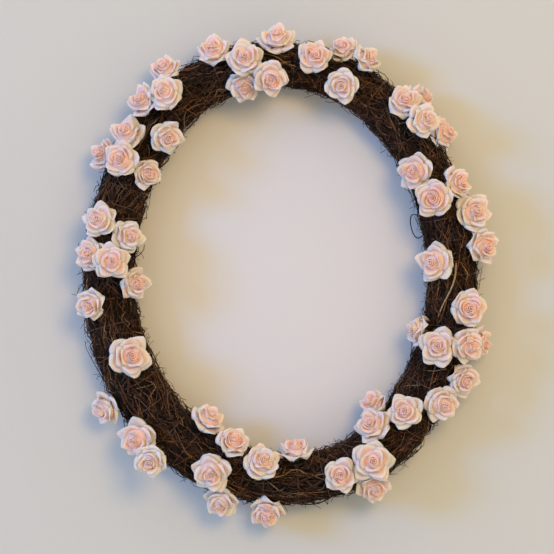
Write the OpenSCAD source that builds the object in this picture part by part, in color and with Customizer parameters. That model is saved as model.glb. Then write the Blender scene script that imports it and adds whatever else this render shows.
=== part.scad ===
// Oval brushwood wreath on a wire hoop, dressed with foam roses, with a swinging
// D ring behind its top. Millimetres. +Z is up, the wreath faces -Y, and the wall
// is towards +Y. The origin is where the nail sits, at the inside top of the D ring.

/* [Oval] */

// Half width of the oval, to the middle of the twigs
half_w = 168; // [120:1:220]

// Half height of the oval, to the middle of the twigs
half_h = 207; // [150:1:260]

// Radius of the two end bends
end_r = 145; // [90:1:165]

// Lean of the oval as it hangs, top to the left, in degrees
lean = 4; // [-10:1:10]

/* [Twigs] */

// Bundles in each of the two end bends
end_count = 3; // [2:1:5]

// Bundles in each of the two flanks
side_count = 4; // [2:1:6]

// Radius of the wire of the hoop inside the twigs
hoop_wire_r = 1.5; // [1:0.1:3]

// Outer radius of the sleeves that join the hoop
sleeve_r = 2.5; // [2.2:0.1:4]

// Bore radius of the sleeves
sleeve_bore_r = 1.8; // [1.7:0.05:3.2]

// Length of the sleeves
sleeve_len = 12; // [8:1:14]

// Play round the hoop and the stems
fit_gap = 0.05; // [0.02:0.01:0.2]

// Radius of the wire of the binding ties
tie_r = 0.6; // [0.3:0.1:1.2]

/* [Hanger] */

// Half width of the D ring, to the middle of its wire
ring_half_w = 12; // [8:1:20]

// Radius of the wire of the D ring
ring_wire_r = 1; // [0.8:0.1:2]

// Height of the nail seat over the middle of the hinge bar
eye_rise = 19; // [14:1:30]

// Gap between the hinge bar and the twigs
bar_gap = 0.4; // [0.3:0.1:1]

// Distance of each staple from the middle
staple_x = 6; // [4:1:9]

// Radius of the wire of the staples
staple_r = 0.8; // [0.6:0.1:1.2]

// Gap between the hinge bar and the staples
staple_gap = 0.35; // [0.3:0.05:0.6]

// How far the legs of the staples reach in front of the bar
staple_leg = 16; // [8:1:18]

/* [Roses] */

// Height of a calyx over the twigs
calyx_gap = 5; // [4:0.5:10]

// Radius of the ball of a calyx
calyx_ball_r = 2.4; // [1.5:0.1:4]

// Thickness of a calyx from the ball to the petals
calyx_h = 3.6; // [2:0.1:6]

// Radius of the stem wire with its tape
stem_r = 0.8; // [0.5:0.1:1.5]

// Depth of a stem in the twigs
stem_depth = 12; // [6:1:14]

/* [Hidden] */

$fn = 96;

// Section radius and outward shift of each bundle, clockwise from the top left
bundles = [
  [22, 0], [20, 0], [20, 0],
  [20, 2], [23, 3], [23, 3], [23, 3],
  [24, 4], [23, 0], [24, 2],
  [26, 8], [25, 6], [23, 2], [22, 0],
];

// One line per rose: station clockwise round the oval, roll of the stem round the
// twigs from the front, roll of the face, turn of the face along the oval, width,
// lift of the calyx
rose_sets = [
  [[4, 45, 40, 0, 31, 0]],
  [[18, 15, 15, 0, 31, 0]],
  [[28, 78, 25, -30, 26, 0], [34, 60, 45, 20, 30, 0]],
  [[32, -12, -14, 0, 33, 0]],
  [[62.5, 90, 50, 10, 30, 0], [58, 24, 28, 8, 30, 14], [53, 32, 24, -15, 32, 0],
   [54, 92, 75, 0, 31, 0]],
  [[75, -8, -15, 0, 36, 6], [73.5, 25, 45, 0, 31, 0], [67.5, -20, -28, -5, 34, 0]],
  [[87.5, 62, 35, 4, 33, 0], [80.5, 52, 28, -4, 34, 0]],
  [[90.5, -30, -30, 0, 35, 0]],
  [[101, 31, 8, 0, 36, 0], [109, 32, 29, 0, 32, 4], [108, 82, 65, 0, 28, 0],
   [116, 58, 32, 4, 33, 0]],
  [[108.5, -45, -75, 0, 28, 0], [111, -8, -12, 0, 35, 0]],
  [[122.5, 35, 25, 4, 33, 0]],
  [[140, -40, -35, 4, 33, 0], [133, -80, -60, 0, 29, 0], [128.5, -10, -15, 0, 33, 0]],
  [[162, 0, 0, 6, 33, 0], [150, 5, 0, -4, 36, 5], [154, 47, 32, 0, 31, 0]],
  [[190, 78, 45, 0, 33, 0]],
  [[179, -45, -70, 0, 30, 0]],
  [[205, 68, 40, 0, 31, 0]],
  [[225.5, -62, -55, 4, 30, 0], [210, -40, -34, 0, 33, 5], [212, 12, 15, 0, 34, 0],
   [195, -25, -25, -8, 34, 0]],
  [[235.5, 45, 25, 0, 34, 0], [230.5, 33, 20, -8, 33, 15]],
  [[244, 80, 50, 0, 30, 0]],
  [[252, -10, -15, 0, 38, 0]],
  [[266, 22, 30, -8, 31, 0]],
  [[281, -27, -28, 8, 31, 0], [276.5, 31, 28, 0, 30, 0], [275, -4, -6, 0, 32, 10],
   [269.5, -50, -35, -4, 31, 0]],
  [[284, 20, 22, 5, 31, 0]],
  [[298, -25, -28, 0, 30, 0]],
  [[304, 35, 32, 10, 32, 0], [298.5, 14, 18, 0, 33, 9], [298, 80, 42, 0, 29, 0]],
  [[308.5, -25, -25, 0, 33, 0]],
  [[325, 72, 42, 5, 29, 0], [320, 16, 20, 0, 32, 9], [313.5, 44, 38, -8, 31, 0]],
  [[342.5, 46, 30, -4, 30, 0]],
  [[352, 6, 12, -2, 34, 8], [349.5, -34, -34, -6, 31, 0], [1, -20, -22, 4, 33, 16]],
];

// Radius of the two flanks, and the station where an end bend runs into a flank
side_r = (half_w * half_w + pow(half_h - end_r, 2) - end_r * end_r)
  / (2 * (half_w - end_r));
join_u = atan2(side_r - half_w, half_h - end_r);
end_sweep = 2 * join_u / end_count;
side_sweep = (180 - 2 * join_u) / side_count;
half_run = end_count + side_count;

// Middle plane of the twigs and centre of the oval, seen from the nail seat
core_y = -(ring_wire_r + bar_gap + bundles[1][0]);
centre_z = -(eye_rise + half_h);
bar_z = -eye_rise;

// Centre [x, z] and radius of the arc that holds station u
function wrap(u) = (u % 360 + 360) % 360;
function arc_of(u) = let (w = wrap(u))
  w < join_u || w > 360 - join_u ? [0, half_h - end_r, end_r]
  : w < 180 - join_u ? [half_w - side_r, 0, side_r]
  : w < 180 + join_u ? [0, end_r - half_h, end_r]
  : [side_r - half_w, 0, side_r];

// First station and sweep of bundle i, counted clockwise from the top left
function in_half(i) = i % half_run;
function on_end(i) = in_half(i) < end_count;
function sweep(i) = on_end(i) ? end_sweep : side_sweep;
function start(i) = (i < half_run ? 0 : 180) - join_u + (on_end(i)
  ? in_half(i) * end_sweep
  : 2 * join_u + (in_half(i) - end_count) * side_sweep);
function bundle_at(u) = [
  for (i = [0 : 2 * half_run - 1])
    if (wrap(u - start(i)) < sweep(i)) bundles[i]
][0];

module in_wreath() {
  translate([0, core_y, centre_z]) rotate([0, -lean, 0]) children();
}

// Local frame on the oval: X runs clockwise along it, Z points out of it, Y to the wall
module at_station(u, out = 0) {
  arc = arc_of(u);
  translate([arc[0], 0, arc[1]]) rotate([0, u, 0]) translate([0, 0, arc[2] + out])
    children();
}

// Ring segment of round section from station u over a sweep
module ring_segment(u, turn, r, out = 0) {
  arc = arc_of(u + turn / 2);
  translate([arc[0], 0, arc[1]]) rotate([-90, 0, 0]) rotate([0, 0, u - 90])
    rotate_extrude(angle = turn) translate([arc[2] + out, 0]) circle(r = r);
}

// Wire hoop: two end bends and two flanks, butted in the sleeves
module wire_hoop() {
  inset = 0.02;
  end_turn = 2 * (join_u - inset);
  side_turn = 180 - 2 * (join_u + inset);
  color([0.45, 0.45, 0.47]) in_wreath() for (half = [0, 180]) {
    ring_segment(half - join_u + inset, end_turn, hoop_wire_r);
    ring_segment(half + join_u + inset, side_turn, hoop_wire_r);
  }
}

// Tube sleeve, or its seat in the twigs, at each joint of the hoop
module at_joints() {
  for (u = [join_u, 180 - join_u, 180 + join_u, 360 - join_u])
    at_station(u) rotate([0, 90, 0]) translate([0, 0, -sleeve_len / 2]) children();
}

module hoop_sleeves() {
  color([0.6, 0.6, 0.62]) in_wreath() at_joints() difference() {
    cylinder(h = sleeve_len, r = sleeve_r, $fn = 48);
    translate([0, 0, -1]) cylinder(h = sleeve_len + 2, r = sleeve_bore_r, $fn = 48);
  }
}

// Bundle i of twigs, bored for the hoop, the stems and the staples
module twig_bundle(i) {
  seam = 0.05;
  color([0.2, 0.13, 0.09]) difference() {
    in_wreath() ring_segment(start(i) + seam, sweep(i) - 2 * seam, bundles[i][0],
      bundles[i][1]);
    in_wreath() {
      ring_segment(start(i) - 1, sweep(i) + 2, hoop_wire_r + fit_gap);
      at_joints() translate([0, 0, -fit_gap])
        cylinder(h = sleeve_len + 2 * fit_gap, r = sleeve_r + fit_gap, $fn = 48);
    }
    for (set = rose_sets, rose = set)
      if (wrap(rose[0] - start(i) + 1) < sweep(i) + 2) stem(rose, fit_gap);
    if (i == 1) hanger_staples(fit_gap);
  }
}

// Closed wire ties round the bundles of one half, three to a bundle
module binding_ties(first, last) {
  color([0.3, 0.15, 0.09]) in_wreath()
    for (n = [first : last], part = [0.15, 0.5, 0.85]) {
      i = n % (2 * half_run);
      at_station(start(i) + part * sweep(i), bundles[i][1]) rotate([0, 90, 0])
        rotate_extrude() translate([bundles[i][0] + tie_r + fit_gap, 0])
          circle(r = tie_r, $fn = 24);
    }
}

// Frame at the calyx ball of a rose, Z along the stem
module at_calyx(rose, back = 0) {
  bundle = bundle_at(rose[0]);
  in_wreath() at_station(rose[0], bundle[1]) rotate([90 - rose[1], 0, 0])
    translate([0, 0, bundle[0] + calyx_gap + rose[5] - back]) children();
}

// The same point with Z along the face of the rose
module at_face(rose) {
  at_calyx(rose) rotate([rose[1] - rose[2], 0, 0]) rotate([0, rose[3], 0]) children();
}

module stem(rose, gap = 0) {
  length = stem_depth + calyx_gap + rose[5];
  at_calyx(rose, length) cylinder(h = length, r = stem_r + gap, $fn = 24);
}

module stems(first, last) {
  color([0.25, 0.33, 0.2])
    for (s = [first : last], rose = rose_sets[s]) stem(rose);
}

// Calyx: a ball over the stem with a cup for the petals, bored for the stem
module calyxes(first, last) {
  color([0.3, 0.4, 0.24])
    for (s = [first : last], rose = rose_sets[s]) difference() {
      at_face(rose) {
        sphere(r = calyx_ball_r, $fn = 48);
        rotate_extrude($fn = 48)
          polygon([[0, 0], [calyx_ball_r, 0.5], [5.5, calyx_h - 0.8], [5.5, calyx_h],
            [0, calyx_h]]);
      }
      stem(rose, fit_gap);
    }
}

// Outer petals of one rose as a flared cup with a flat floor
module petal_cup(r, h) {
  rotate_extrude() polygon([
    [0, 0], [0.42 * r, 0.05 * h], [0.74 * r, 0.25 * h], [0.95 * r, 0.5 * h],
    [r, 0.66 * h], [0.97 * r, 0.72 * h], [0.86 * r, 0.6 * h], [0.66 * r, 0.38 * h],
    [0.4 * r, 0.22 * h], [0, 0.22 * h]
  ]);
}

// Heart of one rose: inner petals with a groove round the rolled bud
module rose_heart(r, h) {
  rotate_extrude() polygon([
    [0, 0.22 * h], [0.34 * r, 0.22 * h], [0.58 * r, 0.42 * h], [0.7 * r, 0.62 * h],
    [0.72 * r, 0.84 * h], [0.66 * r, 0.88 * h], [0.54 * r, 0.72 * h],
    [0.42 * r, 0.74 * h], [0.4 * r, 0.94 * h], [0.24 * r, h], [0, h]
  ]);
}

module roses(set) {
  for (rose = set) at_face(rose) translate([0, 0, calyx_h]) {
    color([0.96, 0.86, 0.82]) petal_cup(rose[4] / 2, 0.6 * rose[4]);
    color([0.93, 0.7, 0.63]) rose_heart(rose[4] / 2, 0.6 * rose[4]);
  }
}

// Two wire staples over the straight side of the D ring
module hanger_staples(gap = 0) {
  bend = ring_wire_r + staple_gap + staple_r;
  color([0.7, 0.7, 0.72]) for (side = [-1, 1]) translate([side * staple_x, 0, bar_z]) {
    rotate([0, 90, 0]) rotate_extrude(angle = 180) translate([bend, 0])
      circle(r = staple_r + gap, $fn = 32);
    for (level = [-1, 1]) translate([0, 0, level * bend]) rotate([90, 0, 0])
      cylinder(h = staple_leg, r = staple_r + gap, $fn = 32);
  }
}

// D ring: hinge bar, two sides and a round top; the nail sits inside the top
module hanging_ring() {
  arc_z = ring_wire_r - ring_half_w;
  color([0.75, 0.75, 0.77]) {
    translate([-ring_half_w, 0, bar_z]) rotate([0, 90, 0])
      cylinder(h = 2 * ring_half_w, r = ring_wire_r, $fn = 48);
    for (side = [-1, 1]) translate([side * ring_half_w, 0, bar_z]) {
      sphere(r = ring_wire_r, $fn = 48);
      cylinder(h = arc_z - bar_z, r = ring_wire_r, $fn = 48);
    }
    translate([0, 0, arc_z]) rotate([90, 0, 0]) rotate_extrude(angle = 180)
      translate([ring_half_w, 0]) circle(r = ring_wire_r, $fn = 48);
  }
}

module twig_bundle_01() { twig_bundle(0); }
module twig_bundle_02() { twig_bundle(1); }
module twig_bundle_03() { twig_bundle(2); }
module twig_bundle_04() { twig_bundle(3); }
module twig_bundle_05() { twig_bundle(4); }
module twig_bundle_06() { twig_bundle(5); }
module twig_bundle_07() { twig_bundle(6); }
module twig_bundle_08() { twig_bundle(7); }
module twig_bundle_09() { twig_bundle(8); }
module twig_bundle_10() { twig_bundle(9); }
module twig_bundle_11() { twig_bundle(10); }
module twig_bundle_12() { twig_bundle(11); }
module twig_bundle_13() { twig_bundle(12); }
module twig_bundle_14() { twig_bundle(13); }
module binding_ties_right() { binding_ties(1, 7); }
module binding_ties_left() { binding_ties(8, 14); }
module stems_top_right() { stems(0, 6); }
module stems_bottom_right() { stems(7, 13); }
module stems_bottom_left() { stems(14, 20); }
module stems_top_left() { stems(21, 28); }
module calyxes_top_right() { calyxes(0, 6); }
module calyxes_bottom_right() { calyxes(7, 13); }
module calyxes_bottom_left() { calyxes(14, 20); }
module calyxes_top_left() { calyxes(21, 28); }
module roses_01() { roses(rose_sets[0]); }
module roses_02() { roses(rose_sets[1]); }
module roses_03() { roses(rose_sets[2]); }
module roses_04() { roses(rose_sets[3]); }
module roses_05() { roses(rose_sets[4]); }
module roses_06() { roses(rose_sets[5]); }
module roses_07() { roses(rose_sets[6]); }
module roses_08() { roses(rose_sets[7]); }
module roses_09() { roses(rose_sets[8]); }
module roses_10() { roses(rose_sets[9]); }
module roses_11() { roses(rose_sets[10]); }
module roses_12() { roses(rose_sets[11]); }
module roses_13() { roses(rose_sets[12]); }
module roses_14() { roses(rose_sets[13]); }
module roses_15() { roses(rose_sets[14]); }
module roses_16() { roses(rose_sets[15]); }
module roses_17() { roses(rose_sets[16]); }
module roses_18() { roses(rose_sets[17]); }
module roses_19() { roses(rose_sets[18]); }
module roses_20() { roses(rose_sets[19]); }
module roses_21() { roses(rose_sets[20]); }
module roses_22() { roses(rose_sets[21]); }
module roses_23() { roses(rose_sets[22]); }
module roses_24() { roses(rose_sets[23]); }
module roses_25() { roses(rose_sets[24]); }
module roses_26() { roses(rose_sets[25]); }
module roses_27() { roses(rose_sets[26]); }
module roses_28() { roses(rose_sets[27]); }
module roses_29() { roses(rose_sets[28]); }

wire_hoop();
hoop_sleeves();
twig_bundle_01();
twig_bundle_02();
twig_bundle_03();
twig_bundle_04();
twig_bundle_05();
twig_bundle_06();
twig_bundle_07();
twig_bundle_08();
twig_bundle_09();
twig_bundle_10();
twig_bundle_11();
twig_bundle_12();
twig_bundle_13();
twig_bundle_14();
binding_ties_right();
binding_ties_left();
hanger_staples();
hanging_ring();
stems_top_right();
stems_bottom_right();
stems_bottom_left();
stems_top_left();
calyxes_top_right();
calyxes_bottom_right();
calyxes_bottom_left();
calyxes_top_left();
roses_01();
roses_02();
roses_03();
roses_04();
roses_05();
roses_06();
roses_07();
roses_08();
roses_09();
roses_10();
roses_11();
roses_12();
roses_13();
roses_14();
roses_15();
roses_16();
roses_17();
roses_18();
roses_19();
roses_20();
roses_21();
roses_22();
roses_23();
roses_24();
roses_25();
roses_26();
roses_27();
roses_28();
roses_29();
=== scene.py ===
import math

import bpy
import numpy as np
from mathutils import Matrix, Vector


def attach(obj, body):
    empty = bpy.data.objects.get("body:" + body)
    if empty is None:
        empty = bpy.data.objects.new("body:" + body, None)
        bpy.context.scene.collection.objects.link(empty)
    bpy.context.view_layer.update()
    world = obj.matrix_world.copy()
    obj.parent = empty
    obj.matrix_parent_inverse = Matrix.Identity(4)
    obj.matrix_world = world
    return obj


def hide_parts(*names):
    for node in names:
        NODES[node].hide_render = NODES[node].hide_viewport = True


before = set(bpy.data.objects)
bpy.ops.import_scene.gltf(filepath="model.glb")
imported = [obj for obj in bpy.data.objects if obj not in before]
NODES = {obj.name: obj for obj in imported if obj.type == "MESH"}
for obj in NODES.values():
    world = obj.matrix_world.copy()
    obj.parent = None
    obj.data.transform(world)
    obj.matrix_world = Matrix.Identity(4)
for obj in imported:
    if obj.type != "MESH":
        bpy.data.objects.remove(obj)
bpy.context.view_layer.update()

BUNDLES = ["twig_bundle_%02d" % i for i in range(1, 15)]
ROSE_NODES = ["roses_%02d" % i for i in range(1, 30)]
QUARTERS = ["top_right", "bottom_right", "bottom_left", "top_left"]

# Seeds of the random draws; each rose has one of its own, counted up from the last
TWIG_SEED, TIE_SEED, PLACE_SEED, GREEN_SEED, PETAL_SEED = 11, 5, 21, 31, 100

# ---------------------------------------------------------------- the oval, as in the part

# Half width and half height of the oval to the middle of the twigs, radius of its end bends
HALF_W, HALF_H, END_R = 0.168, 0.207, 0.145
LEAN = math.radians(4)
CORE_Y, CENTRE_Z = -0.0214, -0.226

# The wall, the furthest back a twig reaches, and the floor
WALL_Y, BACK_Y, FLOOR_Z = 0.0065, 0.0056, -0.95

# The D ring as it swings: height of its hinge bar, reach from it, the front of its wire, and
# the width round it in which twigs come back to BACK_Y
RING_PIVOT_Z, RING_REACH, RING_FRONT_Y, RING_MARGIN = -0.019, 0.026, -0.0013, 0.008

# Flank radius, and the turn of the normal from the top where an end bend meets a flank
SIDE_R = (HALF_W**2 + (HALF_H - END_R) ** 2 - END_R**2) / (2 * (HALF_W - END_R))
JOIN = math.atan2(SIDE_R - HALF_W, HALF_H - END_R)
ARC_TURNS = [2 * JOIN, math.pi - 2 * JOIN, 2 * JOIN, math.pi - 2 * JOIN]
ARC_RADII = [END_R, SIDE_R, END_R, SIDE_R]
ARC_CENTRES = [(0, HALF_H - END_R), (HALF_W - SIDE_R, 0), (0, END_R - HALF_H), (SIDE_R - HALF_W, 0)]
ARC_STARTS = np.concatenate([[0], np.cumsum([t * r for t, r in zip(ARC_TURNS, ARC_RADII)])])
ROUND = float(ARC_STARTS[-1])

# Bundles in each arc, clockwise from the top left, and their section radius and outward shift
BUNDLE_COUNTS = [3, 4, 3, 4]
BUNDLE_MM = [(22, 0), (20, 0), (20, 0), (20, 2), (23, 3), (23, 3), (23, 3),
             (24, 4), (23, 0), (24, 2), (26, 8), (25, 6), (23, 2), (22, 0)]
BUNDLE_ENDS = np.concatenate(
    [[0]] + [ARC_STARTS[k] + (ARC_STARTS[k + 1] - ARC_STARTS[k]) * np.arange(1, n + 1) / n
             for k, n in enumerate(BUNDLE_COUNTS)])
MIDS = (BUNDLE_ENDS[1:] + BUNDLE_ENDS[:-1]) / 2
TABLE_STEPS = 600
BLEND = 0.045  # how far one bundle's thickness runs into the next


def smooth_round(values):
    """A table of a bundle value along the oval, blended where bundles meet."""
    s = np.linspace(0, ROUND, TABLE_STEPS, endpoint=False)
    raw = np.interp(s, MIDS, values, period=ROUND)
    lag = np.minimum(s, ROUND - s)
    kernel = np.exp(-((lag / BLEND) ** 2))
    return np.real(np.fft.ifft(np.fft.fft(raw) * np.fft.fft(kernel / kernel.sum())))


RADIUS_TABLE = smooth_round([r / 1000 for r, _ in BUNDLE_MM])
SHIFT_TABLE = smooth_round([s / 1000 for _, s in BUNDLE_MM])


def along(table, s):
    """The value of a table at arc length s."""
    at = np.linspace(0, ROUND, TABLE_STEPS + 1)
    return np.interp(np.mod(s, ROUND), at, np.append(table, table[0]))


def oval(s):
    """Centre of the twigs at arc length s from the top left join, and the unit vector out
    of the oval there."""
    s = np.mod(s, ROUND)
    k = np.clip(np.searchsorted(ARC_STARTS, s, side="right") - 1, 0, 3)
    first = np.array([-JOIN, JOIN, math.pi - JOIN, math.pi + JOIN])[k]
    radius = np.array(ARC_RADII)[k]
    u = first + (s - ARC_STARTS[k]) / radius
    centre = np.array(ARC_CENTRES)[k]
    x = centre[..., 0] + (radius + along(SHIFT_TABLE, s)) * np.sin(u)
    z = centre[..., 1] + (radius + along(SHIFT_TABLE, s)) * np.cos(u)
    u = u - LEAN
    c, d = math.cos(LEAN), math.sin(LEAN)
    place = np.stack([x * c - z * d, np.full_like(x, CORE_Y), CENTRE_Z + x * d + z * c], -1)
    return place, np.stack([np.sin(u), np.zeros_like(u), np.cos(u)], -1)


def on_ring(s, roll, rho):
    """Point at arc length s, rolled round the twigs from the front, rho from their middle,
    and the unit vector out of the twigs there."""
    place, out = oval(s)
    radial = np.sin(roll)[..., None] * out - np.cos(roll)[..., None] * np.array([0, 1, 0])
    return place + rho[..., None] * radial, radial


# ---------------------------------------------------------------- mesh helpers


def piece(name, shape, material, node_name, slot, **values):
    """A smooth piece of the wreath from (verts, quads, tris), shown in place of a CAD node,
    with a float attribute on its points for each of the values."""
    me = bpy.data.meshes.new(name)
    verts = np.asarray(shape[0], np.float32).reshape(-1, 3)
    quads = np.asarray(shape[1], np.int32).reshape(-1, 4)
    tris = np.asarray(shape[2], np.int32).reshape(-1, 3)
    me.vertices.add(len(verts))
    me.vertices.foreach_set("co", verts.ravel())
    me.loops.add(4 * len(quads) + 3 * len(tris))
    me.loops.foreach_set("vertex_index", np.concatenate([quads.ravel(), tris.ravel()]))
    me.polygons.add(len(quads) + len(tris))
    starts = np.concatenate([4 * np.arange(len(quads)), 4 * len(quads) + 3 * np.arange(len(tris))])
    me.polygons.foreach_set("loop_start", starts.astype(np.int32))
    me.polygons.foreach_set("use_smooth", np.ones(len(starts), bool))
    for key, value in values.items():
        me.attributes.new(key, "FLOAT", "POINT").data.foreach_set(
            "value", np.asarray(value, np.float32).ravel())
    me.update(calc_edges=True)
    me.materials.append(material)
    ob = bpy.data.objects.new(name, me)
    bpy.context.scene.collection.objects.link(ob)
    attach(ob, "wreath")
    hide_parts(node_name)


def tubes(paths, radii, up, sides):
    """Closed tubes along paths (n, m, 3) with radii (n, m); up (n, m, 3) is never along them."""
    n, m, _ = paths.shape
    run = np.gradient(paths, axis=1)
    run /= np.linalg.norm(run, axis=2, keepdims=True) + 1e-12
    side = np.cross(run, up)
    side /= np.linalg.norm(side, axis=2, keepdims=True) + 1e-12
    lift = np.cross(side, run)
    turn = 2 * math.pi * np.arange(sides) / sides
    ring = (side[:, :, None] * np.cos(turn)[:, None] + lift[:, :, None] * np.sin(turn)[:, None])
    verts = paths[:, :, None] + radii[:, :, None, None] * ring
    base = (np.arange(n)[:, None, None] * m + np.arange(m - 1)[None, :, None]) * sides
    k = np.arange(sides)[None, None, :]
    j = (k + 1) % sides
    quads = np.stack([base + k, base + j, base + sides + j, base + sides + k], -1).reshape(-1, 4)
    fan = np.array([[0, i + 1, i] for i in range(1, sides - 1)])
    first = (np.arange(n) * m * sides)[:, None, None] + fan[None]
    last = (np.arange(n) * m * sides + (m - 1) * sides)[:, None, None] + fan[None, :, ::-1]
    tris = np.concatenate([first.reshape(-1, 3), last.reshape(-1, 3)])
    return verts.reshape(-1, 3), quads, tris


def joined(parts):
    """Several (verts, quads, tris) as one."""
    verts, quads, tris, at = [], [], [], 0
    for v, q, t in parts:
        verts.append(v.reshape(-1, 3))
        quads.append(np.asarray(q, int).reshape(-1, 4) + at)
        tris.append(np.asarray(t, int).reshape(-1, 3) + at)
        at += len(verts[-1])
    return np.concatenate(verts), np.concatenate(quads), np.concatenate(tris)


# ---------------------------------------------------------------- materials


def new_material(name, rough, specular, metallic=0.0):
    """A material, its node tree and its Principled shader."""
    mat = bpy.data.materials.new(name)
    mat.use_nodes = True
    nt = mat.node_tree
    bsdf = nt.nodes["Principled BSDF"]
    bsdf.inputs["Roughness"].default_value = rough
    bsdf.inputs["Specular IOR Level"].default_value = specular
    bsdf.inputs["Metallic"].default_value = metallic
    return mat, nt, bsdf


def node(nt, kind, **values):
    """A new node, each value set on the input of that name, or else on the node itself."""
    n = nt.nodes.new(kind)
    for key, value in values.items():
        if key in n.inputs:
            n.inputs[key].default_value = value
        else:
            setattr(n, key, value)
    return n


def ramp(nt, source, stops):
    """A colour ramp of (position, colour) stops."""
    n = nt.nodes.new("ShaderNodeValToRGB")
    e = n.color_ramp.elements
    while len(e) < len(stops):
        e.new(0.5)
    for item, (at, colour) in zip(e, stops):
        item.position = at
        item.color = (*colour, 1)
    nt.links.new(source, n.inputs["Fac"])
    return n.outputs["Color"]


def multiplied(nt, a, b):
    """Two colours multiplied. A Mix node has its colour sockets at 6, 7 and, out, 2."""
    n = nt.nodes.new("ShaderNodeMix")
    n.data_type = "RGBA"
    n.blend_type = "MULTIPLY"
    n.inputs[0].default_value = 1.0
    nt.links.new(a, n.inputs[6])
    nt.links.new(b, n.inputs[7])
    return n.outputs[2]


def noise(nt, scale, detail=3.0, rough=0.55):
    """Noise in the piece's own metres."""
    n = node(nt, "ShaderNodeTexNoise", Scale=scale, Detail=detail, Roughness=rough)
    nt.links.new(nt.nodes.new("ShaderNodeTexCoord").outputs["Object"], n.inputs["Vector"])
    return n.outputs["Fac"]


def bump(nt, bsdf, height, strength, distance):
    """Fine relief on a shader, its height a noise."""
    b = node(nt, "ShaderNodeBump", Strength=strength, Distance=distance)
    nt.links.new(height, b.inputs["Height"])
    nt.links.new(b.outputs["Normal"], bsdf.inputs["Normal"])


def attribute(nt, name):
    """A value that piece() put on the points."""
    return node(nt, "ShaderNodeAttribute", attribute_name=name).outputs["Fac"]


def twig_material():
    """Bark: tone 0 is near black, used as painted shade for the twigs deep in the bundle; 1 is a
    dry tan twig.
    """
    mat, nt, bsdf = new_material("bark", rough=0.7, specular=0.2)
    # The lowest stops are near black: painted shade for the twigs deep in the bundle, and the
    # darkest bark for the loose ones.
    tone = ramp(nt, attribute(nt, "tone"), [
        (0.0, (0.003, 0.002, 0.001)), (0.3, (0.009, 0.005, 0.003)),
        (0.55, (0.070, 0.033, 0.018)), (0.8, (0.20, 0.098, 0.050)),
        (1.0, (0.36, 0.26, 0.14))])
    streak = ramp(nt, noise(nt, 700, 4, 0.6), [
        (0.34, (0.42, 0.40, 0.40)), (0.52, (1.0, 1.0, 1.0)), (0.68, (1.7, 1.55, 1.45))])
    nt.links.new(multiplied(nt, tone, streak), bsdf.inputs["Base Color"])
    bump(nt, bsdf, noise(nt, 1600, 3, 0.6), 0.5, 0.0003)
    return mat


def wire_material(name, dark, light, rough):
    """Bare metal wire with a fine grain."""
    mat, nt, bsdf = new_material(name, rough, specular=0.5, metallic=1.0)
    grain = noise(nt, 900, 4, 0.6)
    nt.links.new(ramp(nt, grain, [(0.3, dark), (0.7, light)]), bsdf.inputs["Base Color"])
    bump(nt, bsdf, grain, 0.25, 0.0001)
    return mat


def lacquer_material():
    """Brown lacquer of the binding wire."""
    mat, nt, bsdf = new_material("brown_lacquer", rough=0.42, specular=0.5)
    nt.links.new(ramp(nt, noise(nt, 700, 3), [
        (0.3, (0.050, 0.022, 0.014)), (0.7, (0.13, 0.058, 0.034))]), bsdf.inputs["Base Color"])
    bump(nt, bsdf, noise(nt, 1500, 2), 0.3, 0.0002)
    return mat


def leaf_material(name, dark, light):
    """Mottled green, for the stem tape and the calyxes."""
    mat, nt, bsdf = new_material(name, rough=0.6, specular=0.3)
    nt.links.new(ramp(nt, noise(nt, 260, 4), [(0.3, dark), (0.7, light)]),
                 bsdf.inputs["Base Color"])
    bump(nt, bsdf, noise(nt, 900, 3), 0.4, 0.0003)
    return mat


def foam_material():
    """Rose foam: blush 0 is the pale lip of a petal, 1 the pink heart, whose brighter, deeper pink
    in the folds at the petal feet is partly painted light standing in for light through the foam.
    """
    mat, nt, bsdf = new_material("rose_foam", rough=0.62, specular=0.12)
    bsdf.inputs["Subsurface Weight"].default_value = 0.6
    bsdf.inputs["Subsurface Radius"].default_value = (1.0, 0.45, 0.32)
    bsdf.inputs["Subsurface Scale"].default_value = 0.0035
    # Painted light: the heart stop is brighter than the lip, to stand in for light through the foam
    # in the folds; its pink is the foam's own.
    blush = ramp(nt, attribute(nt, "blush"), [
        (0.0, (0.79, 0.69, 0.65)), (0.3, (0.79, 0.63, 0.58)),
        (0.6, (0.84, 0.58, 0.52)), (1.0, (0.93, 0.54, 0.47))])
    cloud = ramp(nt, noise(nt, 120, 3), [(0.3, (0.96, 0.95, 0.95)), (0.7, (1.0, 1.0, 1.0))])
    nt.links.new(multiplied(nt, blush, cloud), bsdf.inputs["Base Color"])
    bump(nt, bsdf, noise(nt, 2600, 2, 0.5), 0.12, 0.0001)
    return mat


BARK = twig_material()
STEEL = wire_material("drawn_wire", (0.34, 0.33, 0.32), (0.62, 0.61, 0.6), 0.35)
BRIGHT = wire_material("bright_wire", (0.55, 0.55, 0.56), (0.8, 0.8, 0.81), 0.25)
LACQUER = lacquer_material()
TAPE = leaf_material("stem_tape", (0.035, 0.060, 0.022), (0.085, 0.125, 0.05))
CALYX = leaf_material("calyx_green", (0.030, 0.055, 0.018), (0.10, 0.135, 0.045))
FOAM = foam_material()

# ---------------------------------------------------------------- twigs

# Sizes of a twig's wander, from its longest wave to its shortest, and the pace of each wave
STRAIGHT = (0.0022, 0.0010, 0.0004, 0.0002)
ROUGH = (0.0040, 0.0018, 0.0009, 0.0004)
WILD = (0.0050, 0.0030, 0.0016, 0.0006)
PACES = (1, 2.2, 4.5, 8)
THINNEST = 0.00016  # radius that no twig goes under
JITTER = 0.00028  # roughness of a twig's path
TIP_TUCK = 0.0025  # how far both ends of a twig go in, when its tip does not stand off
CURL_POINTS = 16
TIE_R, TIE_END_R = 0.0005, 0.00045  # radius of a tie's wire, round the ring and at its ends


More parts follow.
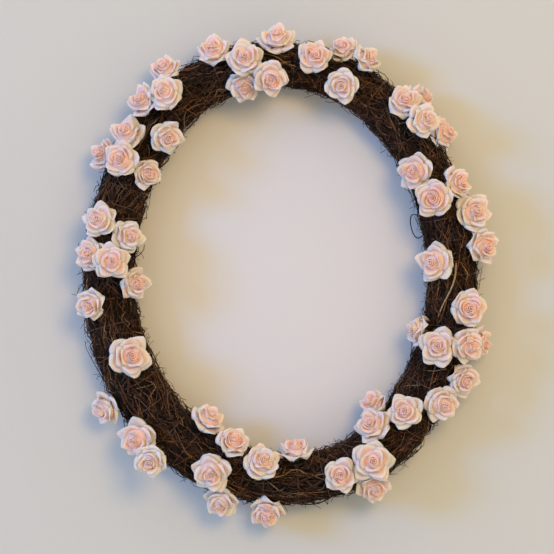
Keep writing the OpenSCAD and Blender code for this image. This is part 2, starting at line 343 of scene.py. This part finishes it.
def wander(rng, n, t, sizes):
    """Smooth random wander along t for n paths."""
    total = np.zeros((n, len(t)))
    for size, base_pace in zip(sizes, PACES):
        pace = rng.uniform(0.6, 1.1, (n, 1)) * base_pace
        total += size * rng.normal(0, 1, (n, 1)) * np.sin(
            2 * math.pi * (pace * t + rng.uniform(0, 1, (n, 1))))
    return total


def back_limit(path):
    """How far back twigs may lie: short of the wall, and in front of the swinging D ring."""
    away = np.hypot(path[..., 0], path[..., 2] - RING_PIVOT_Z)
    return np.interp(away, [RING_REACH, RING_REACH + RING_MARGIN], [RING_FRONT_Y, BACK_Y])


def strands(rng, n, points, length, spread, depth, thick, tone, stray=0.0, lift=(0, 0),
            waves=STRAIGHT, edge=False):
    """n twigs laid along the ring. length (mean, sd), spread of their slant in degrees,
    depth (mean, sd) in share of the section radius, thick (low, high) radius, tone (mean, sd)
    of the bark, its low end painted shade for deep twigs, stray: the share whose tip stands off,
    by lift (low, high), edge: only on the inner and outer rim. Gives each twig's middle along the
    oval, path, radii, up and tones."""
    t = np.linspace(0, 1, points)
    span = np.clip(rng.normal(length[0], length[1], (n, 1)), length[0] * 0.4, length[0] * 1.8)
    slant = np.radians(rng.normal(0, spread, (n, 1)))
    s0 = rng.uniform(0, ROUND, (n, 1))
    way = rng.choice([-1.0, 1.0], (n, 1))
    s = s0 + way * span * t * np.cos(slant)
    around = along(RADIUS_TABLE, s)
    share = 1 - np.abs(rng.normal(depth[0], depth[1], (n, 1)))
    first = rng.uniform(-math.pi, math.pi, (n, 1))
    if edge:
        first = np.sign(first) * (1.4 + 0.16 * first)
    roll = first + (span * t * np.sin(slant) + wander(rng, n, t, waves)) / around
    rho = around * share + 0.5 * wander(rng, n, t, waves)
    off = (rng.uniform(0, 1, (n, 1)) < stray) * rng.uniform(*lift, (n, 1))
    rho = rho + off * np.clip((t - 0.55) / 0.45, 0, 1) ** 1.6
    tuck = (off == 0) * TIP_TUCK
    rho = rho - tuck * (np.clip((t - 0.85) / 0.15, 0, 1) + np.clip((0.12 - t) / 0.12, 0, 1))
    path, up = on_ring(s, roll, rho)
    path = path + rng.normal(0, JITTER, path.shape)
    size = rng.uniform(*thick, (n, 1)) * (1 - 0.5 * t**1.5)
    size = np.maximum(size * (1 + 0.1 * rng.normal(0, 1, (n, points))), THINNEST)
    path[..., 1] = np.minimum(path[..., 1], back_limit(path) - size)
    tones = np.clip(rng.normal(*tone, (n, 1)) + 0.05 * rng.normal(0, 1, (n, points)), 0, 0.93)
    return s.mean(1), path, size, up, tones


def curls(rng, n):
    """Thin tendrils that loop off the inner and outer edge and come back."""
    t = np.linspace(0, 1, CURL_POINTS)
    edge = rng.choice([-1.0, 1.0], (n, 1)) * math.pi / 2 * rng.uniform(0.75, 1.2, (n, 1))
    s0 = rng.uniform(0, ROUND, (n, 1))
    wide = rng.uniform(0.006, 0.016, (n, 1))
    high = rng.uniform(0.002, 0.007, (n, 1))
    s = s0 + wide * (t - 0.5) * 1.2 - 0.35 * wide * np.sin(2 * math.pi * t)
    rho = along(RADIUS_TABLE, s) * 0.97 - 0.001 + high * np.sin(math.pi * t) ** 0.8
    roll = edge + 0.2 * np.sin(2 * math.pi * (t + rng.uniform(0, 1, (n, 1))))
    path, _ = on_ring(s, roll, rho)
    size = rng.uniform(0.0003, 0.0005, (n, 1)) * np.ones((n, CURL_POINTS))
    across = np.broadcast_to(np.array([0.1, 1.0, 0.05]), path.shape)
    tones = np.full((n, CURL_POINTS), 0.3) + rng.normal(0, 0.1, (n, 1))
    return s.mean(1), path, size, across, tones


def on_right_limb(degrees):
    """Arc length where the normal has turned so far from the top."""
    return ARC_STARTS[1] + (np.radians(degrees) - JOIN) * SIDE_R


def chosen_twigs():
    """The dry tan twig on the right limb, and a stiff loop on its inner edge."""
    t = np.linspace(0, 1, CURL_POINTS)
    loop = 79 + 3 * t - 2.5 * np.sin(2 * math.pi * t)
    s = np.stack([on_right_limb(91 + 13 * t), on_right_limb(loop)])
    roll = np.stack([0.10 - 0.55 * t + 0.08 * np.sin(5 * t), -1.5 + 0.1 * t])
    rise = np.stack([0.0012 + 0.0012 * np.sin(4 * t), 0.014 * np.sin(math.pi * t) - 0.001])
    path, up = on_ring(s, roll, along(RADIUS_TABLE, s) + rise)
    up[1] = (0.1, 1.0, 0.1)
    size = np.stack([0.0011 - 0.0004 * t, np.full(CURL_POINTS, 0.0005)])
    tones = np.stack([np.full(CURL_POINTS, 1.0), np.full(CURL_POINTS, 0.25)])
    return s.mean(1), path, size, up, tones


def make_twigs():
    """All the twigs, from the deep ones, made near black as painted shade inside the ring, to the
    loose ones, each with the number of sides of its section, then shared out among the bundles."""
    rng = np.random.default_rng(TWIG_SEED)
    # The deep and under twigs get near black tones as painted shade for the inside of the bundle.
    deep = strands(rng, 420, 12, length=(0.19, 0.03), spread=8, depth=(0.36, 0.10),
                   thick=(0.0014, 0.0021), tone=(0.0, 0.03))
    under = strands(rng, 850, 18, length=(0.14, 0.04), spread=12, depth=(0.16, 0.07),
                    thick=(0.0007, 0.0012), tone=(0.10, 0.12), stray=0.2,
                    lift=(0.001, 0.006), waves=ROUGH)
    long_ones = strands(rng, 2000, 18, length=(0.10, 0.03), spread=20, depth=(0.02, 0.07),
                        thick=(0.00035, 0.0007), tone=(0.46, 0.20), stray=0.35,
                        lift=(0.001, 0.007), waves=ROUGH)
    short_ones = strands(rng, 2500, 11, length=(0.05, 0.02), spread=42, depth=(0.0, 0.045),
                         thick=(0.0003, 0.00055), tone=(0.54, 0.19), stray=0.5,
                         lift=(0.001, 0.006), waves=WILD)
    hairs = strands(rng, 1000, 7, length=(0.020, 0.008), spread=32, depth=(0.0, 0.03),
                    thick=(0.00028, 0.0005), tone=(0.36, 0.16), stray=1.0,
                    lift=(0.001, 0.009), waves=ROUGH)
    rim_hairs = strands(rng, 1200, 8, length=(0.026, 0.009), spread=26, depth=(0.0, 0.03),
                        thick=(0.00028, 0.0005), tone=(0.34, 0.14), stray=0.8,
                        lift=(0.001, 0.008), waves=WILD, edge=True)
    groups = [(deep, 5), (under, 5), (long_ones, 5), (short_ones, 4), (hairs, 4),
              (rim_hairs, 4), (curls(rng, 36), 4), (chosen_twigs(), 6)]
    for i, name in enumerate(BUNDLES):
        parts, tones = [], []
        for (middle, path, size, up, tone), sides in groups:
            m = np.mod(middle, ROUND)
            pick = (m >= BUNDLE_ENDS[i]) & (m < BUNDLE_ENDS[i + 1])
            parts.append(tubes(path[pick], size[pick], up[pick], sides))
            tones.append(np.repeat(tone[pick].reshape(-1), sides))
        piece("twigs_%02d" % (i + 1), joined(parts), BARK, name, "twigs",
              tone=np.concatenate(tones))


def tie(rng, s):
    """A wire tie at arc length s: a loop, and its two ends twisted together at the back."""
    t = np.linspace(0, 1, 49)
    roll = math.pi + 2 * math.pi * t
    slant = rng.uniform(-0.005, 0.005)
    closed = np.sin(math.pi * t)
    ss = s + slant * np.cos(roll) + wander(rng, 1, t, (0.0005, 0.0003))[0] * closed
    rho = along(RADIUS_TABLE, ss) + 0.0005 + 0.0005 * np.sin(
        5 * roll + rng.uniform(0, 6)) * closed
    path, up = on_ring(ss[None], roll[None], rho[None])
    parts = [tubes(path, np.full((1, len(t)), TIE_R), up, 6)]
    k = np.linspace(0, 1, 20)
    for phase in (0, math.pi):
        ts = s + 0.009 * k + 0.0005 * np.cos(14 * k + phase)
        tr = math.pi + 0.03 * np.sin(14 * k + phase)
        th = along(RADIUS_TABLE, ts) + 0.0009 + 0.0002 * np.sin(14 * k + phase)
        path, up = on_ring(ts[None], tr[None], th[None])
        parts.append(tubes(path, np.full((1, len(k)), TIE_END_R), up, 6))
    return parts


def make_ties():
    """Three ties to a bundle, in a right and a left half as in the part."""
    rng = np.random.default_rng(TIE_SEED)
    for side, bundles in (("right", [1, 2, 3, 4, 5, 6, 7]), ("left", [8, 9, 10, 11, 12, 13, 0])):
        parts = []
        for i in bundles:
            for share in (0.15, 0.5, 0.85):
                s = BUNDLE_ENDS[i] + share * (BUNDLE_ENDS[i + 1] - BUNDLE_ENDS[i])
                parts += tie(rng, s)
        piece("ties_" + side, joined(parts), LACQUER, "binding_ties_" + side, "binding_wire")


# ---------------------------------------------------------------- roses

NO_TRIS = np.zeros((0, 3), int)
PETAL_GRID = 11  # points across a petal, and up it
PETAL_THICK, SEPAL_THICK, BUD_THICK = 0.0008, 0.0005, 0.0007
BUD_TURNS = 2.4
CALYX_DROP = 0.0036  # from the base of a head down to the ball of its calyx
STEM_R = 0.00085


def islands(ob):
    """The separate solids of a CAD node: for each the node's points and its own triangles."""
    me = ob.data
    co = np.empty(3 * len(me.vertices))
    me.vertices.foreach_get("co", co)
    co = co.reshape(-1, 3)
    _, first, same = np.unique(np.round(co * 1e6).astype(np.int64), axis=0, return_index=True,
                               return_inverse=True)
    same = same.ravel()
    me.calc_loop_triangles()
    tri = np.empty(3 * len(me.loop_triangles), np.int32)
    me.loop_triangles.foreach_get("vertices", tri)
    tri = same[tri.reshape(-1, 3)]
    label = np.arange(len(first))
    while True:
        low = label[tri].min(1)
        new = label.copy()
        for k in range(3):
            np.minimum.at(new, tri[:, k], low)
        new = new[new]
        if (new == label).all():
            break
        label = new
    pts = co[first]
    return [(pts, tri[label[tri[:, 0]] == k]) for k in np.unique(label[tri[:, 0]])]


def axis_of(pts, tri):
    """Base, axis and radius of a head, whose biggest flat face is the end of its heart."""
    a, b, c = pts[tri[:, 0]], pts[tri[:, 1]], pts[tri[:, 2]]
    normal = np.cross(b - a, c - a)
    area = np.linalg.norm(normal, axis=1)
    big = area > 1e-12
    normal, middle, area = normal[big] / area[big, None], ((a + b + c) / 3)[big], area[big]
    _, group = np.unique(np.round(normal * 200).astype(int), axis=0, return_inverse=True)
    flat = group.ravel() == np.argmax(np.bincount(group.ravel(), area))
    up = (area[flat, None] * normal[flat]).sum(0)
    up /= np.linalg.norm(up)
    centre = (area[flat, None] * middle[flat]).sum(0) / area[flat].sum()
    off = pts[np.unique(tri)] - centre
    h = off @ up
    r = np.linalg.norm(off - h[:, None] * up, axis=1)
    return centre + h.min() * up, up, r.max()


def petal(rng, turn, half, foot, length, lean, curl, onset, side, pinch, tuck=0.0, wave=0.0,
          thick=PETAL_THICK, point=0.5):
    """One petal as a closed sheet in rose coordinates, turned to its place, half its width in
    radians. foot (radius, height), lean: degrees from the axis at equal steps up the petal,
    curl: how far its lip rolls back, from onset up, side: how much shorter its sides are,
    pinch: how much its lip narrows, tuck: how far one side goes under its neighbour, wave:
    depth of the ripples, point: how much more the sides roll than the tip, which leaves the
    tip as a corner. Gives points, quads, and how far up and how far aside each point is."""
    steps = np.linspace(0, 1, PETAL_GRID)
    a, v = np.meshgrid(np.linspace(-1, 1, PETAL_GRID), steps, indexing="ij")
    reach = 1 - side * np.abs(a) ** (1.6 - 0.7 * point)
    angle = np.interp(v, np.linspace(0, 1, len(lean)), lean)
    start = onset - (0.18 + 0.3 * point) * np.abs(a) ** 1.2
    roll = np.clip((v - start) / (1 - start), 0, 1)
    angle = angle + curl * roll**1.3 * (1 - point + 1.5 * point * np.abs(a) ** 1.1)
    angle = np.radians(angle + 3 * rng.normal() + 4 * rng.normal() * a)
    step = length * reach / (PETAL_GRID - 1)
    start_row = np.zeros((PETAL_GRID, 1))
    out = np.cumsum(step[:, 1:] * np.sin(angle[:, 1:]), 1)
    up = np.cumsum(step[:, 1:] * np.cos(angle[:, 1:]), 1)
    r = foot[0] + np.concatenate([start_row, out], 1)
    z = foot[1] + np.concatenate([start_row, up], 1)
    width = half * (0.5 + 0.5 * np.sin(math.pi / 2 * np.minimum(1, v / 0.55)))
    width = width * (1 - pinch * np.clip((v - 0.6) / 0.4, 0, 1) ** 1.5)
    th = turn + a * width
    r = r + tuck * a + wave * np.sin(2.5 * a + rng.uniform(0, 6)) * v**2
    z = z + wave * np.sin(3.1 * a + rng.uniform(0, 6)) * v**2
    grid = np.stack([r * np.cos(th), r * np.sin(th), z], -1)
    edge = np.minimum(1, 0.35 + 2.2 * np.minimum(1 - np.abs(a), 1 - v))
    sheet, quads = thickened(grid, thick / 2 * edge)
    return sheet, quads, np.tile(v.ravel(), 2), np.tile(np.abs(a).ravel(), 2)


def thickened(grid, half_thick):
    """A grid of points (n, m, 3) as a closed sheet, its half thickness one value or (n, m)."""
    n, m, _ = grid.shape
    normal = np.cross(np.gradient(grid, axis=0), np.gradient(grid, axis=1))
    normal /= np.linalg.norm(normal, axis=2, keepdims=True) + 1e-12
    push = normal * np.broadcast_to(half_thick, (n, m))[..., None]
    sheet = np.concatenate([(grid + push).reshape(-1, 3), (grid - push).reshape(-1, 3)])
    i, j = np.meshgrid(np.arange(n - 1), np.arange(m - 1), indexing="ij")
    p = (i * m + j).ravel()
    face = np.stack([p, p + m, p + m + 1, p + 1], -1)
    rim = np.concatenate([np.arange(m - 1), np.arange(m - 1, n * m - 1, m),
                          np.arange(n * m - 1, (n - 1) * m, -1), np.arange((n - 1) * m, 0, -m)])
    nxt = np.roll(rim, -1)
    edges = np.stack([rim, nxt, nxt + n * m, rim + n * m], -1)
    return sheet, np.concatenate([face, face[:, ::-1] + n * m, edges])


def bud(rng, size, foot, top):
    """The rolled heart: one spiral sheet whose top edge opens a little."""
    a, v = np.meshgrid(np.linspace(0, 1, 48), np.linspace(0, 1, 6), indexing="ij")
    th = BUD_TURNS * 2 * math.pi * a + rng.uniform(0, 6)
    r = size * (0.10 + 0.90 * a**0.85) * (0.72 + 0.28 * v) + 0.0006 * (v > 0.9) * a
    r = r + size * 0.10 * np.sin(3 * th + rng.uniform(0, 6)) * v * a
    z = foot + (top - foot) * v * (1.0 - 0.10 * a - 0.06 * np.sin(2.3 * th) * a)
    grid = np.stack([r * np.cos(th), r * np.sin(th), z], -1)
    sheet, quads = thickened(grid, BUD_THICK / 2)
    return sheet, quads, np.tile(v.ravel(), 2), np.zeros(2 * v.size)


def turned(rows, sides):
    """Rows of (radius, height) turned round the axis: points (rows, sides, 3) and quads."""
    turn = np.linspace(0, 2 * math.pi, sides + 1)[:-1]
    wide, high = np.array(rows)[:, 0, None], np.array(rows)[:, 1, None]
    verts = np.stack([wide * np.cos(turn), wide * np.sin(turn),
                      np.broadcast_to(high, (len(rows), sides))], -1)
    i, k = np.meshgrid(np.arange(len(rows) - 1), np.arange(sides), indexing="ij")
    j = (k + 1) % sides
    quads = np.stack([sides * i + k, sides * i + j, sides * (i + 1) + j, sides * (i + 1) + k], -1)
    return verts, quads.reshape(-1, 4)


def core(r):
    """The foam cone that the petals are stuck round."""
    rows = np.array([(0.0, 0.02), (0.44, 0.05), (0.70, 0.26), (0.72, 0.36), (0.56, 0.52),
                     (0.38, 0.70), (0.22, 0.84), (0.0, 0.84)])
    sides = 20
    verts, quads = turned(rows * r, sides)
    v = np.repeat(np.linspace(0, 1, len(rows)), sides)
    return verts.reshape(-1, 3), quads, v, np.zeros(v.size)


# Rows of petals from the heart out: count, half width in degrees, foot radius and height,
# length, leans, curl, onset of the curl, blush at the foot (partly painted light in the folds) and
# at the lip, point
LAYERS = [
    (3, 74, (0.14, 0.30), 0.86, (42, 20, 4, 0, 4), 25, 0.84, 1.0, 0.75, 0.3),
    (3, 70, (0.16, 0.20), 1.02, (56, 34, 18, 12, 20), 40, 0.82, 0.90, 0.40, 0.7),
    (4, 62, (0.18, 0.10), 1.07, (72, 54, 40, 34, 42), 50, 0.82, 0.70, 0.18, 0.9),
    (5, 54, (0.20, 0.02), 1.12, (88, 72, 58, 54, 60), 60, 0.82, 0.50, 0.08, 1.0),
]


def rose_mesh(seed, r, warm, open_by):
    """A foam rose of rim radius r, base at the origin, facing +Z: its shape and its blush, which at
    the petal feet is partly painted light in the folds.
    warm deepens the blush, open_by spreads the outer petals and closes the inner ones."""
    rng = np.random.default_rng(seed)
    parts, blush = [], []

    def add(made, foot_blush, lip_blush):
        sheet, quads, v, edge = made
        parts.append((sheet, quads, NO_TRIS))
        # Blush is highest at the petal feet: the pink of the heart, and painted light in the folds
        # between petals.
        tint = foot_blush + (lip_blush - foot_blush) * v**0.8 - 0.08 * edge * v
        blush.append(np.clip(tint + warm * (0.4 + 0.6 * foot_blush), 0, 1))

    add(bud(rng, 0.24 * r, 0.4 * r, 1.12 * r), 1.0, 0.72)
    add(core(r), 0.45, 0.75)
    for k, (n, half, foot, length, lean, curl, onset, b0, b1, point) in enumerate(LAYERS):
        spin = rng.uniform(0, 2 * math.pi)
        for i in range(n):
            turn = spin + 2 * math.pi * (i + rng.uniform(-0.15, 0.15)) / n
            leans = [x + open_by * 8 * (k - 1) + rng.normal(0, 2) for x in lean]
            wide = math.radians(half * rng.uniform(0.93, 1.08))
            long = length * r * rng.uniform(0.95, 1.05)
            rolled = curl * rng.uniform(0.8, 1.2)
            add(petal(rng, turn, wide, (foot[0] * r, foot[1] * r), long, leans, rolled, onset,
                      side=0.26, pinch=0.44, tuck=0.0006, wave=0.0008, point=point), b0, b1)
    return joined(parts), np.concatenate(blush)


def facing(up, spin):
    """Axes of a rose whose face looks along up."""
    side = np.cross([0, 0, 1.0], up)
    if np.linalg.norm(side) < 0.2:
        side = np.cross([1.0, 0, 0], up)
    side /= np.linalg.norm(side)
    other = np.cross(up, side)
    c, d = math.cos(spin), math.sin(spin)
    return np.stack([c * side + d * other, c * other - d * side, up])


def make_roses():
    """A rose on each head of the part. Gives the base, axis and radius of each."""
    rng = np.random.default_rng(PLACE_SEED)
    places, count = [], 0
    for name in ROSE_NODES:
        heads = [axis_of(*one) for one in islands(NODES[name])]
        heads.sort(key=lambda h: (round(h[0][2], 4), round(h[0][0], 4)))
        for base, up, r in heads:
            count += 1
            shape, blush = rose_mesh(
                PETAL_SEED + count, r, warm=rng.normal(0, 0.10), open_by=rng.normal(0, 0.5))
            verts, quads, tris = shape
            verts = base + verts @ facing(up, rng.uniform(0, 2 * math.pi))
            piece("rose_%02d" % count, (verts, quads, tris), FOAM, name, "rose_foam",
                  blush=blush)
            places.append((base, up, r))
    return places


def stem_ends(pts, places):
    """The deep end and the calyx end of a straight CAD stem, and the unit vector along it."""
    middle = pts.mean(0)
    _, _, vec = np.linalg.svd(pts - middle, full_matrices=False)
    run = vec[0]
    h = (pts - middle) @ run
    ends = [middle + h.min() * run, middle + h.max() * run]
    near = [min(np.linalg.norm(b - CALYX_DROP * u - e) for b, u, _ in places) for e in ends]
    if near[0] < near[1]:
        ends.reverse()
    return ends[0], ends[1], run


def taped_stem(rng, deep, ball, run):
    """A slightly bent stem, its tape wound on in low ridges."""
    t = np.linspace(0, 1, 26)[:, None]
    bend = rng.normal(0, 0.0006, 3)
    path = deep + (ball - deep) * t + bend * np.sin(math.pi * t)
    size = STEM_R * (1 + 0.10 * np.sin(40 * t[:, 0]))
    across = np.broadcast_to(np.cross(run, [0.3, 0.5, 0.8]), path.shape)
    return tubes(path[None], size[None], across[None], 8)


def calyx(rng, ball, up):
    """A small bulb under the petals with five pointed sepals round it."""
    axes = facing(up, rng.uniform(0, 6))
    rows = [(0.0002, -0.0024), (0.0014, -0.0020), (0.0023, -0.0008), (0.0026, 0.0006),
            (0.0036, 0.0020), (0.0052, 0.0032), (0.0058, 0.0038), (0.0002, 0.0037)]
    verts, quads = turned(rows, 16)
    parts = [(verts, quads, NO_TRIS)]
    for i in range(5):
        turn = 2 * math.pi * i / 5 + rng.normal(0, 0.1)
        long = 0.0105 * rng.uniform(0.85, 1.15)
        sheet, quads, _, _ = petal(rng, turn, 0.42, (0.0030, 0.0016), long,
                                   (70, 62, 55, 60, 80), 35, 0.6, side=0.75, pinch=0.8,
                                   thick=SEPAL_THICK)
        parts.append((sheet, quads, NO_TRIS))
    verts, quads, tris = joined(parts)
    return ball + verts @ axes, quads, tris


def make_greens(places):
    """A taped stem that runs into the twigs and a calyx for each rose, by quarter."""
    rng = np.random.default_rng(GREEN_SEED)
    for quarter in QUARTERS:
        cups, sticks = [], []
        for pts, tri in islands(NODES["stems_" + quarter]):
            deep, ball, run = stem_ends(pts[np.unique(tri)], places)
            _, up, _ = min(places,
                           key=lambda x: np.linalg.norm(x[0] - CALYX_DROP * x[1] - ball))
            sticks.append(taped_stem(rng, deep, ball, run))
            cups.append(calyx(rng, ball, up))
        piece("stems_taped_" + quarter, joined(sticks), TAPE, "stems_" + quarter, "stem_tape")
        piece("calyx_set_" + quarter, joined(cups), CALYX, "calyxes_" + quarter, "calyx_green")


# ---------------------------------------------------------------- carried over pieces


def finish_node(name, material):
    """A CAD node shown as it is, in its own material."""
    me = NODES[name].data
    me.materials.clear()
    me.materials.append(material)


for hoop in ("wire_hoop", "hoop_sleeves"):
    finish_node(hoop, STEEL)
for part in ("hanger_staples", "hanging_ring"):
    finish_node(part, BRIGHT)

make_twigs()
make_ties()
make_greens(make_roses())

# ---------------------------------------------------------------- room, light, camera


def wall_material():
    """Pale plaster with a painted pool of light, lighter behind the middle of the wreath, seen from
    its front only.
    """
    mat, nt, bsdf = new_material("pale_wall", rough=0.9, specular=0.1)
    away = node(nt, "ShaderNodeVectorMath", operation="DISTANCE")
    nt.links.new(nt.nodes.new("ShaderNodeTexCoord").outputs["Object"], away.inputs[0])
    away.inputs[1].default_value = (0, WALL_Y, CENTRE_Z)
    # Painted pool of light: the wall is lighter near the middle of the wreath and darker further
    # out.
    nt.links.new(ramp(nt, away.outputs["Value"], [
        (0.12, (0.66, 0.66, 0.655)), (0.28, (0.57, 0.585, 0.55))]), bsdf.inputs["Base Color"])
    bump(nt, bsdf, noise(nt, 240, 4), 0.15, 0.0006)
    clear = nt.nodes.new("ShaderNodeBsdfTransparent")
    both = nt.nodes.new("ShaderNodeMixShader")
    side = nt.nodes.new("ShaderNodeNewGeometry")
    nt.links.new(side.outputs["Backfacing"], both.inputs[0])
    nt.links.new(bsdf.outputs[0], both.inputs[1])
    nt.links.new(clear.outputs[0], both.inputs[2])
    nt.links.new(both.outputs[0], nt.nodes["Material Output"].inputs["Surface"])
    return mat


def stage_plane(name, corners, material):
    """A flat part of the stage, not of the object."""
    me = bpy.data.meshes.new(name)
    me.from_pydata(corners, [], [(0, 1, 2, 3)])
    me.materials.append(material)
    ob = bpy.data.objects.new(name, me)
    bpy.context.scene.collection.objects.link(ob)
    return ob


PALE = wall_material()
WALL_HALF, WALL_TOP, FLOOR_HALF = 4, 3, 6
wall = stage_plane("wall", [
    (-WALL_HALF, WALL_Y, FLOOR_Z), (WALL_HALF, WALL_Y, FLOOR_Z),
    (WALL_HALF, WALL_Y, WALL_TOP), (-WALL_HALF, WALL_Y, WALL_TOP)], PALE)
stage_plane("floor", [
    (-FLOOR_HALF, -FLOOR_HALF, FLOOR_Z), (FLOOR_HALF, -FLOOR_HALF, FLOOR_Z),
    (FLOOR_HALF, FLOOR_HALF, FLOOR_Z), (-FLOOR_HALF, FLOOR_HALF, FLOOR_Z)], PALE)

# The wall takes light and shadow but sends neither back, so the light behind it gets through
wall.visible_diffuse = False
wall.visible_glossy = False
wall.visible_transmission = False
wall.visible_shadow = False

MIDDLE = Vector((0, -0.03, -0.23))  # what the lights are turned to


def soft_light(name, place, size, power, colour):
    """A square area light turned to the middle of the wreath."""
    data = bpy.data.lights.new(name, "AREA")
    data.shape = "SQUARE"
    data.size = size
    data.energy = power
    data.color = colour
    ob = bpy.data.objects.new(name, data)
    ob.location = place
    ob.rotation_mode = "QUATERNION"
    ob.rotation_quaternion = (MIDDLE - Vector(place)).to_track_quat("-Z", "Y")
    bpy.context.scene.collection.objects.link(ob)


soft_light("cool_left", (-4.0, -3.3, 0.9), 1.4, 155, (0.01, 0.32, 1.0))
soft_light("warm_right", (0.8, -3.1, 0.65), 1.0, 44, (1.0, 0.62, 0.18))
soft_light("behind", (0.6, 2.6, 0.9), 1.5, 22, (1.0, 0.97, 0.94))

world = bpy.data.worlds.new("pale_room")
world.use_nodes = True
sky = world.node_tree.nodes["Background"]
sky.inputs["Color"].default_value = (1.0, 0.92, 0.80, 1)
sky.inputs["Strength"].default_value = 0.82
bpy.context.scene.world = world
bpy.context.scene.view_settings.view_transform = "Standard"

# Straight on: the distance to the middle of the twigs, how wide the picture is there, and how
# far its middle is from the middle of the oval
DISTANCE, VIEW_WIDTH, SENSOR_MM = 2.6, 0.554, 36
ASIDE, DOWN = -0.004, -0.006
cam = bpy.data.objects.new("camera", bpy.data.cameras.new("camera"))
bpy.context.scene.collection.objects.link(cam)
bpy.context.scene.camera = cam
cam.data.sensor_width = SENSOR_MM
cam.data.lens = SENSOR_MM * DISTANCE / VIEW_WIDTH
cam.location = (ASIDE, CORE_Y - DISTANCE, CENTRE_Z + DOWN)
cam.rotation_euler = (math.pi / 2, 0, 0)
